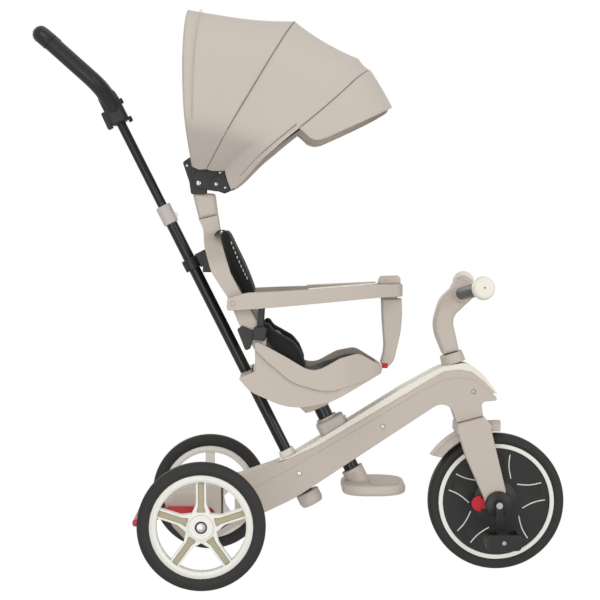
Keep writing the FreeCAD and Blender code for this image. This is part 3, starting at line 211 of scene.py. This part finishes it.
def rounded(corners, closed=True, step=6.0):
    """Points of an outline whose corners may carry a radius, arcs cut every few degrees."""
    count = len(corners)
    out = []
    for i, corner in enumerate(corners):
        here = Vector(corner[:2])
        radius = corner[2] if len(corner) > 2 else 0
        if not radius or (not closed and i in (0, count - 1)):
            out.append(here)
            continue
        before = Vector(corners[i - 1][:2]) - here
        after = Vector(corners[(i + 1) % count][:2]) - here
        angle = before.angle(after)
        if angle > math.radians(179):
            out.append(here)
            continue
        cut = radius / math.tan(angle / 2)
        longest = 0.499 * min(before.length, after.length)
        if cut > longest:
            radius *= longest / cut
            cut = longest
        inward = (before.normalized() + after.normalized()).normalized()
        centre = here + inward * (radius / math.sin(angle / 2))
        start = here + before.normalized() * cut - centre
        turn = math.pi - angle
        if before.x * after.y - before.y * after.x > 0:
            turn = -turn
        pieces = max(2, round(abs(math.degrees(turn)) / step))
        for k in range(pieces + 1):
            a = turn * k / pieces
            out.append(centre + Vector((start.x * math.cos(a) - start.y * math.sin(a),
                                        start.x * math.sin(a) + start.y * math.cos(a))))
    return out


def add(name, data, slot, body, angle=35.0, material=None):
    """A finished mesh as a piece that rides on a body."""
    data.materials.clear()
    data.materials.append(material or MATERIALS[slot])
    data.shade_smooth()
    data.set_sharp_from_angle(angle=math.radians(angle))
    obj = bpy.data.objects.new(name, data)
    scene.collection.objects.link(obj)
    if body:
        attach(obj, body)
    return obj


def mesh_of(curve_object):
    depsgraph = bpy.context.evaluated_depsgraph_get()
    data = bpy.data.meshes.new_from_object(curve_object.evaluated_get(depsgraph))
    curve = curve_object.data
    bpy.data.objects.remove(curve_object)
    bpy.data.curves.remove(curve)
    return data


def slab(name, corners, half, edge, slot, body, centre=0.0, **look):
    """A side outline (x, z, radius) given width across Y, with rounded rims."""
    curve = bpy.data.curves.new(name, "CURVE")
    curve.dimensions = "2D"
    curve.fill_mode = "BOTH"
    curve.extrude = (half - edge) * MM
    curve.bevel_depth = edge * MM
    curve.offset = -edge * MM
    curve.bevel_resolution = 5
    points = rounded(corners)
    spline = curve.splines.new("POLY")
    spline.points.add(len(points) - 1)
    for target, point in zip(spline.points, points):
        target.co = (point.x * MM, point.y * MM, 0, 1)
    spline.use_cyclic_u = True
    obj = bpy.data.objects.new(name, curve)
    scene.collection.objects.link(obj)
    bpy.context.view_layer.update()
    data = mesh_of(obj)
    for vertex in data.vertices:
        x, z, y = vertex.co
        vertex.co = (x, y + centre * MM, z)
    data.flip_normals()
    return add(name, data, slot, body, **look)


def grid(name, rows, slot, body, closed_v=False, thick=0.0, caps=False, **look):
    """A surface through rows of points (mm)."""
    count = len(rows[0])
    verts = [tuple(c * MM for c in p) for row in rows for p in row]
    faces = []
    for i in range(len(rows) - 1):
        nxt = i + 1
        for j in range(count - (0 if closed_v else 1)):
            k = (j + 1) % count
            faces.append((i * count + j, i * count + k, nxt * count + k, nxt * count + j))
    if caps:
        faces.append(tuple(range(count))[::-1])
        faces.append(tuple((len(rows) - 1) * count + j for j in range(count)))
    data = bpy.data.meshes.new(name)
    data.from_pydata(verts, [], faces)
    data.validate()
    if thick:
        obj = bpy.data.objects.new(name, data)
        scene.collection.objects.link(obj)
        solid = obj.modifiers.new("thick", "SOLIDIFY")
        solid.thickness = thick * MM
        solid.offset = 0.0
        bpy.context.view_layer.update()
        thick_data = bpy.data.meshes.new_from_object(obj.evaluated_get(bpy.context.evaluated_depsgraph_get()))
        bpy.data.objects.remove(obj)
        data = thick_data
    return add(name, data, slot, body, **look)


def tube(name, points, radius, slot, body, sides=3, order=3, **look):
    """A round length that follows points (mm)."""
    curve = bpy.data.curves.new(name, "CURVE")
    curve.dimensions = "3D"
    curve.resolution_u = 8
    curve.bevel_depth = radius * MM
    curve.bevel_resolution = sides
    curve.use_fill_caps = True
    spline = curve.splines.new("NURBS")
    spline.points.add(len(points) - 1)
    for target, point in zip(spline.points, points):
        target.co = (*(c * MM for c in point), 1)
    spline.order_u = order
    spline.use_endpoint_u = True
    obj = bpy.data.objects.new(name, curve)
    scene.collection.objects.link(obj)
    bpy.context.view_layer.update()
    return add(name, mesh_of(obj), slot, body, **look)


def lathe(name, profile, origin, axis, slot, body, steps=48, **look):
    """A profile of (radius, height) turned about an axis through origin (mm)."""
    turn = Vector((0, 0, 1)).rotation_difference(Vector(axis).normalized()).to_matrix()
    rows = []
    for radius, height in profile:
        row = []
        for k in range(steps):
            a = 2 * math.pi * k / steps
            row.append(Vector(origin) + turn @ Vector((radius * math.cos(a), radius * math.sin(a), height)))
        rows.append(row)
    return grid(name, rows, slot, body, closed_v=True, **look)


# ------------------------------------------------------------------ canopy

PIVOT = (-185.0, 710.0)
LEAD = (-152.9, 708.1)
HALF = 166.0
FOOT = (60.0, 30.0)
COLUMNS = 72
CLOTH = 1.6
HOOPS = {}


def hoop_point(share, base, degrees, radius):
    """A point on a rib's line: share 0 at the right foot, 1 at the left, in mm."""
    if radius not in HOOPS:
        HOOPS[radius] = rounded([(-FOOT[0], FOOT[1]), (-HALF + 6, 112, 60), (-HALF, radius, 95),
                                 (HALF, radius, 95), (HALF - 6, 112, 60), FOOT], closed=False, step=5.0)
    line = HOOPS[radius]
    lengths = [0.0]
    for a, b in zip(line, line[1:]):
        lengths.append(lengths[-1] + (b - a).length)
    goal = share * lengths[-1]
    for k in range(1, len(line)):
        if lengths[k] >= goal - 1e-9:
            t = (goal - lengths[k - 1]) / max(lengths[k] - lengths[k - 1], 1e-9)
            flat = line[k - 1].lerp(line[k], t)
            break
    lean = math.radians(degrees)
    return Vector((base[0] + flat.y * math.sin(lean), flat.x, base[1] + flat.y * math.cos(lean)))


def centre_pull(point, base, amount):
    """Moves a fabric point in towards the hood's middle, as stretched cloth pulls between ribs."""
    inner = Vector((base[0], point.y * 0.25, base[1]))
    return point + (inner - point).normalized() * amount


def edge_line(base, degrees, radius, bulge=0.0):
    """A fabric edge as a function of share: an angle that may vary, and a belly to the rear."""
    def point(share):
        p = hoop_point(share, base, degrees(share) if callable(degrees) else degrees, radius)
        p.x -= bulge * math.sin(math.pi * min(1.0, max(0.0, (1018.0 - p.z) / 330.0))) ** 0.7 if bulge else 0.0
        return p
    return point


def reach_of(share):
    """How far out from the lead pivot a front rib's point lies, from its share."""
    run = 966.0 * min(share, 1 - share)
    return 28.0 + 0.646 * run if run < 130 else run - 18.0


def rib_lean(share):
    """The front rib shows as a crease that leans back near the hinge."""
    return 49.0 - 15.0 * math.exp(-(reach_of(share) - 30.0) / 55.0)


def hem_lean(share):
    """The hem: the visor's seam over the top, then a straight line down to the hinge."""
    reach = reach_of(share)
    return 53.6 + 3.4 * max(0.0, 1 - (reach - 175.0) / 140.0) + 46.0 * math.exp(-(reach - 30.0) / 28.0)


REAR = edge_line(PIVOT, -2.7, 308.5, 14.0)
MIDDLE = edge_line(PIVOT, 31.2, 336.5)
CREASE = edge_line(LEAD, rib_lean, 340.0)
SEAM_LINE = edge_line(LEAD, hem_lean, 342.5)


def stretched(name, edges, folds=None):
    """Cloth over a run of edges: each (line, rows to it, sag on the way to it)."""
    line = edges[0][0]
    points = [[line(j / COLUMNS) for j in range(COLUMNS + 1)]]
    for nxt, rows, sag in edges[1:]:
        for i in range(1, rows + 1):
            t = i / rows
            row = []
            for j in range(COLUMNS + 1):
                share = j / COLUMNS
                p = line(share).lerp(nxt(share), t)
                pull = sag * 4 * t * (1 - t)
                if folds:
                    pull += folds(share, t) * math.sin(math.pi * t)
                row.append(centre_pull(p, PIVOT, pull))
            points.append(row)
        line = nxt
    return grid(name, points, "canopy_fabric", None, thick=CLOTH, angle=60)


def rear_folds(share, t):
    """Faint slack: it hangs a little between the stitched strips."""
    return 1.3 * math.sin(11.0 * share + 4.0 * t)


def seam(name, line, body, lift=1.3, first=0.0, last=1.0, radius=0.75):
    """A stitched seam that stands just proud along a fabric edge."""
    steps = 48
    points = []
    for k in range(steps + 1):
        point = centre_pull(line(first + (last - first) * k / steps), PIVOT, -lift)
        point.y += math.copysign(min(1.2, abs(point.y) / 60.0), point.y)
        points.append(point)
    return tube(name, points, radius, "canopy_fabric", body, material=SEAM)


SEAM = weave("seam_fabric", srgb(128, 116, 106), srgb(110, 100, 92), 420.0, 0.2)
PIPING = weave("piping_fabric", srgb(204, 193, 182), srgb(190, 179, 168), 420.0, 0.2)

rear_panel = stretched("hood_rear_panel", [(REAR, 0, 0), (MIDDLE, 14, 4.5)], folds=rear_folds)
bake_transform(rear_panel)
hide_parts("canopy_rear_panel")
front_panel = stretched("hood_front_panel", [(MIDDLE, 0, 0), (CREASE, 12, 5.0), (SEAM_LINE, 5, 1.5)])
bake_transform(front_panel)
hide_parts("canopy_front_panel")
seam("hood_seam_mid", MIDDLE, "canopy_mid")
seam("hood_seam_front", SEAM_LINE, "canopy_front", first=0.2, last=0.8)
strip = edge_line(PIVOT, 1.2, 309.0, 9.0)
seam("hood_seam_strip", strip, "seat", first=0.12, last=0.88, lift=0.9, radius=0.5).data.materials[0] = PIPING
seam("hood_seam_rear", REAR, "seat", lift=0.5, radius=1.3).data.materials[0] = PIPING


def hem_stitch(share):
    return SEAM_LINE(share).lerp(CREASE(share), 0.28)


for label, ends in (("right", (0.03, 0.2)), ("left", (0.8, 0.97))):
    seam(f"hood_hem_{label}", hem_stitch, "canopy_front", first=ends[0], last=ends[1], lift=0.7, radius=0.5)

# the back: a sheet inside the rear edge, bellied slightly to the rear
rim_line = [REAR(0.05 + 0.9 * j / COLUMNS) for j in range(COLUMNS + 1)]
rim_line += [rim_line[-1].lerp(rim_line[0], k / 12) for k in range(1, 12)]
rows = []
for i in range(13):
    out = i / 12
    rows.append([Vector((-198, 0, 880)).lerp(p, 0.002 + 0.998 * out) - Vector((9 * (1 - out ** 2), 0, 0))
                 for p in rim_line])
back_panel = grid("hood_back_panel", rows, "canopy_fabric", "seat", closed_v=True, thick=CLOTH, angle=60)
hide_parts("canopy_back_panel")

# the visor: from the front seam out to a stiffened peak with rounded lower corners
FIRST, LAST = 0.2, 0.8


def peak_point(share, t):
    run = 966.0 * (min(share, 1 - share) - FIRST)
    corner = math.sqrt(max(0.0, 1 - (1 - min(run / 26.0, 1.0)) ** 2))
    side = 1 - min(1.0, max(0.0, run / 260.0))
    edge = hem_lean(share) + (66.0 + 2.2 * side - hem_lean(share)) * corner
    a = hoop_point(share, LEAD, hem_lean(share), 343.5)
    b = hoop_point(share, LEAD, edge, 344.5)
    return centre_pull(a.lerp(b, t), LEAD, -3.0 * 4 * t * (1 - t) * (0.3 + 0.7 * side))


rows = [[peak_point(FIRST + (LAST - FIRST) * j / 80, i / 12) for j in range(81)] for i in range(13)]
visor = grid("hood_visor", rows, "canopy_fabric", "canopy_front", thick=2.6, angle=60)
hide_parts("canopy_visor")
visor_hem = tube("hood_visor_hem", rows[-1][::2], 1.6, "canopy_fabric", "canopy_front", material=PIPING)

# (x, z, head radius, how far out, body) of each hinge rivet
RIVETS = ((-206.0, 742.0, 2.8, 33.4, "seat"), (-185.0, 710.0, 4.6, 38.8, "canopy_mid"),
          (-152.9, 708.1, 3.6, 44.0, "canopy_front"), (-136.5, 702.0, 2.6, 44.0, "canopy_front"))
for side in (-1, 1):
    for i, (x, z, radius, out, body) in enumerate(RIVETS):
        lathe(f"hood_rivet_{i}_{'r' if side < 0 else 'l'}",
              [(0.01, 2.6), (radius * 0.55, 2.5), (radius * 0.9, 1.7), (radius, 0.6), (radius, -0.5)],
              (x, side * out, z), (0, side, 0), "bright_steel", body)

# ------------------------------------------------------------------ padded seat pieces

STEPS = 16
SIDES = ((-1, "right"), (1, "left"))
PAD_SKIN = 4.0


def stuffed(obj, voxel=4.5, pressure=4.0, most=1.2):
    """Fills a closed piece as stuffing does: cloth under pressure, its travel kept short (mm)."""
    remesh = obj.modifiers.new("even", "REMESH")
    remesh.mode = "VOXEL"
    remesh.voxel_size = voxel * MM
    obj.data = frozen(obj)
    start = [v.co.copy() for v in obj.data.vertices]
    cloth = obj.modifiers.new("cloth", "CLOTH")
    cloth.settings.quality = 4
    cloth.settings.mass = 0.3
    cloth.settings.bending_stiffness = 2.0
    cloth.settings.use_pressure = True
    cloth.settings.uniform_pressure_force = pressure
    cloth.settings.effector_weights.gravity = 0.0
    cloth.point_cache.frame_end = STEPS
    for frame in range(1, STEPS + 1):
        scene.frame_set(frame)
    obj.data = frozen(obj)
    scene.frame_set(1)
    for vertex, rest in zip(obj.data.vertices, start):
        moved = vertex.co - rest
        if moved.length > most * MM:
            vertex.co = rest + moved.normalized() * (most * MM)
    smooth = obj.modifiers.new("even", "SMOOTH")
    smooth.factor = 0.5
    smooth.iterations = 3
    finer = obj.modifiers.new("finer", "SUBSURF")
    finer.levels = 1
    obj.data = frozen(obj)
    obj.data.shade_smooth()
    return obj


def frozen(obj):
    """The object's mesh with its modifiers applied; the modifiers go."""
    bpy.context.view_layer.update()
    data = bpy.data.meshes.new_from_object(obj.evaluated_get(bpy.context.evaluated_depsgraph_get()))
    obj.modifiers.clear()
    return data


# heights (x, z) of the shell's floor and of its side edge
FLOOR = ((-58.0, 404.0), (-36.0, 383.0), (-12.0, 366.0), (16.0, 353.0), (46.0, 347.0), (80.0, 352.0),
         (114.0, 362.0), (136.0, 372.0))
EDGE = ((-58.0, 424.0), (-12.0, 384.0), (22.0, 369.0), (58.0, 385.0), (83.0, 396.0), (105.0, 400.0),
        (122.0, 394.0), (136.0, 384.0))
CHANNELS = (-16.0, 22.0, 60.0)


def along(table, x):
    """Reads a height from a run of (x, z) points."""
    for (x0, z0), (x1, z1) in zip(table, table[1:]):
        if x <= x1:
            return z0 + (z1 - z0) * (x - x0) / (x1 - x0)
    return table[-1][1]


def eased(t):
    """A smooth step from 0 to 1."""
    t = max(0.0, min(1.0, t))
    return t * t * (3 - 2 * t)


def cushion_half(x):
    """Half width: between the hip pads, then out to the wings, then round the nose."""
    behind = 81.0 + 24.0 * eased((x - 8) / 22)
    nose = 105.0 - max(0.0, x - 62) * 0.62
    return min(behind, nose) * math.sqrt(max(0.0, 1 - max(0.0, (x - 112) / 25) ** 2) * 0.999 + 0.001)


def cushion_rows():
    """Rings across the seat: flat where they rest, crowned on top, with sewn channels."""
    rings = []
    for i in range(47):
        x = -53.0 + 186.0 * i / 46
        end = math.sqrt(max(0.02, 1 - (1 - min(1.0, (x + 53.5) / 9)) ** 2))
        end *= math.sqrt(max(0.02, 1 - (1 - min(1.0, (133.5 - x) / 9)) ** 2))
        half = cushion_half(x)
        low = along(FLOOR, x) + 1.0
        lift = max(0.0, along(EDGE, x) - 14 - low) * eased((x - 4) / 30)
        channel = 3.2 * sum(math.exp(-((x - at) / 4.0) ** 2) for at in CHANNELS)
        ring = []
        for k in range(41):
            v = -1 + k / 20
            side = eased((abs(v) - 0.45) / 0.5)
            crown = 16.0 * (1 - abs(v) ** 6) ** 0.5 - channel * (1 - abs(v) ** 8)
            ring.append((x, v * half, low + (crown + lift * side) * end))
        for k in range(39, 0, -1):
            v = -1 + k / 20
            ring.append((x, v * half, low + 1.2 * abs(v) ** 8))
        rings.append(ring)
    return rings


cushion = grid("seat_pad", cushion_rows(), "black_fabric", "seat", closed_v=True, caps=True, angle=180)
stuffed(cushion)
soft_seat = [cushion]
soft_harness = []
HIP = [(-57, 420, 6), (-14, 381, 20), (8, 372, 4), (9, 388, 8), (0, 411, 16), (-13, 427, 12),
       (-50, 448, 10), (-56, 460, 4), (-70, 458, 5)]
SHOULDER = [(-146, 614, 6), (-141, 625, 6), (-130, 624, 6), (-119, 598, 60), (-104, 568, 60),
            (-91, 539, 40), (-81, 512, 5), (-90, 506, 4), (-103, 507, 5), (-125, 555, 40),
            (-140, 594, 40)]
SHOULDER_OUT = 45.0
for side, label in SIDES:
    hip = slab(f"hip_pad_{label}", HIP, 10.5, 7.0, "black_fabric", "seat", centre=side * 95.0, angle=180)
    stuffed(hip, PAD_SKIN)
    soft_seat.append(hip)
    shoulder = slab(f"shoulder_pad_{label}", SHOULDER, 22.0, 8.0, "black_fabric", "seat",
                    centre=side * SHOULDER_OUT, angle=180)
    stuffed(shoulder, PAD_SKIN)
    soft_harness.append(shoulder)

# (name, outline, half width, how far out) of the pieces at the seat's sides
STRAP_FITTINGS = (
    ("strap_slider", [(-87, 431, 4), (-64, 427, 4), (-60, 449, 4), (-66, 454, 3), (-84, 453, 5)], 5.8, 119.5),
    ("slider_strap", [(-79, 450), (-67, 450), (-65, 486), (-76, 486)], 0.8, 115.0),
    ("slider_tongue", [(-114, 449, 4), (-104, 455, 5), (-84, 446), (-84, 436), (-90, 414, 4), (-99, 410, 4)],
     1.6, 115.0),
)
WEBBING = weave("webbing", srgb(38, 37, 37), srgb(20, 20, 20), 700.0, 0.5)
PALE = plastic("pale_print", srgb(176, 170, 164), 0.7, 0.0)


def ribbon(name, points, width, thickness=1.6):
    """Flat webbing that keeps its width across the seat; points are (x, y, z)."""
    curve = [Vector(p) for p in points]
    fine = []
    for i in range(len(curve) - 1):
        a, b, c, d = curve[max(0, i - 1)], curve[i], curve[i + 1], curve[min(len(curve) - 1, i + 2)]
        for k in range(8):
            t = k / 8
            fine.append(0.5 * ((2 * b) + (c - a) * t + (2 * a - 5 * b + 4 * c - d) * t * t
                               + (3 * b - a - 3 * c + d) * t ** 3))
    fine.append(curve[-1])
    rings = []
    for i, p in enumerate(fine):
        ahead = (fine[min(i + 1, len(fine) - 1)] - fine[max(i - 1, 0)]).normalized()
        across = Vector((0, 1, 0)) - ahead * ahead.y
        across.normalize()
        up = ahead.cross(across)
        rings.append([p + across * u * width / 2 + up * v * thickness / 2 for u, v in
                      ((-1, -1), (1, -1), (1, 1), (-1, 1))])
    return grid(name, rings, "black_fabric", "seat", closed_v=True, caps=True, material=WEBBING)


for side, label in SIDES:
    y = side * SHOULDER_OUT
    over = [(-134, y, 619), (-141, y, 624), (-149, y, 623), (-156, y, 615)]
    chest = [(-96, y, 513), (-90, y, 496), (-76, side * 42.0, 470), (-60, side * 32.0, 446),
             (-46, side * 16.0, 430)]
    lap = [(-80, side * 78.0, 440), (-66, side * 70.0, 438), (-54, side * 46.0, 432), (-44, side * 18.0, 426)]
    soft_harness.append(ribbon(f"shoulder_strap_{label}", over, 24.0))
    soft_harness.append(ribbon(f"chest_strap_{label}", chest, 22.0))
    soft_harness.append(ribbon(f"lap_strap_{label}", lap, 22.0))
    for name, outline, half, out in STRAP_FITTINGS:
        soft_harness.append(slab(f"{name}_{label}", outline, half, 0.35 * half, "black_plastic", "seat",
                                 centre=side * out))
    for k in range(9):
        t = 0.12 + 0.076 * k
        x, z = -132.0 + 46.0 * t, 618.0 - 100.0 * t - 6.0 * math.sin(math.pi * t)
        dash = [(x, z), (x + 1.6, z - 5.2), (x + 3.6, z - 4.4), (x + 2.0, z + 0.8)]
        soft_harness.append(slab(f"pad_dash_{label}_{k}", dash, 23.2, 0.1, "grey_plastic", "seat",
                                 centre=side * SHOULDER_OUT, material=PALE))
soft_harness.append(ribbon("crotch_strap", [(-2, 0, 383), (-12, 0, 398), (-26, 0, 414), (-38, 0, 424)], 24.0))
soft_harness.append(slab("harness_clasp", [(-53, 432, 5), (-31, 412, 5), (-22, 421, 5), (-44, 442, 6)],
                         27.0, 4.0, "black_plastic", "seat"))
soft_harness.append(lathe("clasp_button", [(0.01, 1.4), (6.5, 1.2), (8.5, 0.2), (8.5, -1.0)], (-34, 0, 431),
                          (0.7, 0, 0.7), "red_plastic", "seat", steps=24))
for piece in soft_seat:
    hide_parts("seat_cushion")
for piece in soft_harness:
    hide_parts("harness")

# ------------------------------------------------------------------ wheel relief

FRONT_AXLE = Vector((361.0, 0.0, 125.0))
REAR_AXLE = Vector((-174.0, 0.0, 112.0))


def around(centre, y, radius, degrees):
    """A point on a wheel's face, degrees clockwise from straight up as seen from the right."""
    a = math.radians(degrees)
    return (centre.x + radius * math.sin(a), y, centre.z + radius * math.cos(a))


def face_of(node_name, side):
    """How far out a node reaches on one side of the middle, in mm."""
    reach = [(NODES[node_name].matrix_world @ Vector(corner)).y / MM for corner in NODES[node_name].bound_box]
    return max(reach) if side > 0 else min(reach)


SPOKES = 5
STEP_ANGLE = 360.0 / SPOKES
FRONT_TURN = 6.0
# (radius, degrees off the spoke's middle) along a raised line on the front disc
SPOKE_LINE = ((50, 27), (57, 20), (67, 14.5), (78, 11.5), (90, 10.5))
# the floor of a rear spoke's channel, for a spoke that points up; a thin sheet there carries painted shade, a
# darker khaki colour for the shade in the recess
CHANNEL = ((-8.0, 26.0, 2), (8.0, 26.0, 2), (5.1, 37.0, 8), (5.1, 78.5, 2), (-5.1, 78.5, 2), (-5.1, 37.0, 8))
CHANNEL_OUT = 6.4
for side, label in SIDES:
    front_face = face_of("front_rim", side) - side * 2.6
    for k in range(SPOKES):
        for edge in (-1, 1):
            line = [around(FRONT_AXLE, front_face, radius, FRONT_TURN + STEP_ANGLE * k + edge * angle)
                    for radius, angle in SPOKE_LINE]
            tube(f"spoke_line_{label}_{k}_{edge}", line, 1.15, "wheel_plastic", "front_wheel", sides=2)
    body = f"rear_wheel_{label}"
    rim = f"rear_rim_{label}"
    wheel_y = (face_of(rim, 1) + face_of(rim, -1)) / 2
    hub = Vector((REAR_AXLE.x, REAR_AXLE.z))
    for k in range(SPOKES):
        turn = Matrix.Rotation(math.radians(STEP_ANGLE * k), 2)
        outline = [(*(turn @ Vector((x, z)) + hub), radius) for x, z, radius in CHANNEL]
        # a thin sheet on each channel floor, coloured with painted shade
        slab(f"rear_channel_shade_{label}_{k}", outline, 0.3, 0.05, "wheel_plastic", body,
             centre=wheel_y + side * CHANNEL_OUT, material=CHANNEL_SHADE_PAINT)
    lathe(f"rear_hub_ring_{label}", [(8.0, 0.05), (8.2, 0.7), (10.4, 0.7), (10.8, 0.05)],
          (REAR_AXLE.x, face_of(rim, side), REAR_AXLE.z), (0, side, 0), "black_plastic", body)

# ------------------------------------------------------------------ push handle

# the right-hand half of the loop: the rail, then the gripped end
RAIL = ((-340, 8, 846), (-352, 18, 868), (-368, 38, 889), (-388, 43, 907), (-424, 43, 939), (-452, 43, 964))
BEND = ((-452, 43, 964), (-462, 43, 973), (-471, 40, 980), (-471, 24, 980), (-471, 0, 980))
housing = []
for side, label in SIDES:
    housing.append(tube(f"handle_rail_{label}", [(x, side * y, z) for x, y, z in RAIL], 14.5, "black_plastic",
                        "handle_upper", sides=6, order=4))
grip_path = [(x, -y, z) for x, y, z in BEND] + [(x, y, z) for x, y, z in BEND[-2::-1]]
grip = tube("handle_grip_sleeve", grip_path, 15.6, "grip_rubber", "handle_upper", sides=6, order=4)
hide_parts("handle_grip")
housing.append(slab("handle_socket", [(-312, 826, 9), (-332, 866, 30), (-346, 888, 14), (-374, 872, 14),
                                      (-361, 846, 20), (-344, 813, 9)],
                    19.0, 6.5, "black_plastic", "handle_upper"))
housing.append(slab("handle_tab", [(-365, 838, 3), (-355, 842), (-342, 812), (-351, 807, 3)], 9.0, 2.0,
                    "black_plastic", "handle_upper"))
for i, (x, z) in enumerate(((-330.0, 860.0), (-313.0, 827.5))):
    housing.append(lathe(f"handle_knob_{i}", [(5.5, -2.0), (5.5, 4.0), (4.6, 5.4), (0.01, 5.8)], (x, 0, z),
                         (0.893, 0, 0.449), "black_plastic", "handle_upper", steps=24))
for piece in housing:
    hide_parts("handle_housing")
